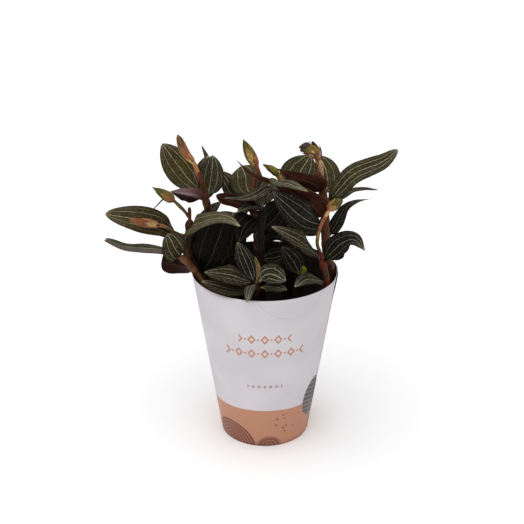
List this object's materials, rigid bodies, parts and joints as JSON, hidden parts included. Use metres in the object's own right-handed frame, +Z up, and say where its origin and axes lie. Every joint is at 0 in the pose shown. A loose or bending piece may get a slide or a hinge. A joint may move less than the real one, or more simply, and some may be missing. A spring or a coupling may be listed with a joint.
{
  "type": "jewel orchid",
  "caption": "Jewel orchid with dark velvety pale-veined leaves and young flower spikes, rooted in a nursery pot that stands inside a conical card sleeve.",
  "frame": {"origin": "on the pot's axis, on the surface that the pot and the sleeve stand on", "axes": "+Z up along the pot's axis, -Y towards the front that is shown, +X to the right as seen from the front"},
  "size_m": [0.2716, 0.1746, 0.3041],
  "materials": {
    "card": "matt white card with a matt copper printed foot band",
    "pot_plastic": "thin black moulded plastic",
    "potting_mix": "moist bark chips and peat",
    "foliage": "velvety dark leaves with pale veins, maroon undersides and red-brown stems",
    "bud": "fleshy copper to olive flower buds"
  },
  "bodies": {
    "root": {"sleeve": "card", "grow_pot": "pot_plastic", "potting_mix": "potting_mix", "shoot_tall_left": "foliage", "shoot_low_left": "foliage", "shoot_left_spray": "foliage", "shoot_far_left": "foliage", "shoot_centre_back": "foliage", "shoot_centre": "foliage", "shoot_centre_right": "foliage", "shoot_right_tall": "foliage", "shoot_right_low": "foliage", "shoot_young_right": "foliage", "shoot_front": "foliage", "shoot_back_left": "foliage", "shoot_back_right": "foliage", "spike_tall_left": "bud", "spike_left_spray": "bud", "spike_far_left": "bud", "spike_centre_back": "bud", "spike_centre_right": "bud", "spike_right_tall": "bud", "spike_right_low": "bud"}
  },
  "joints": []
}
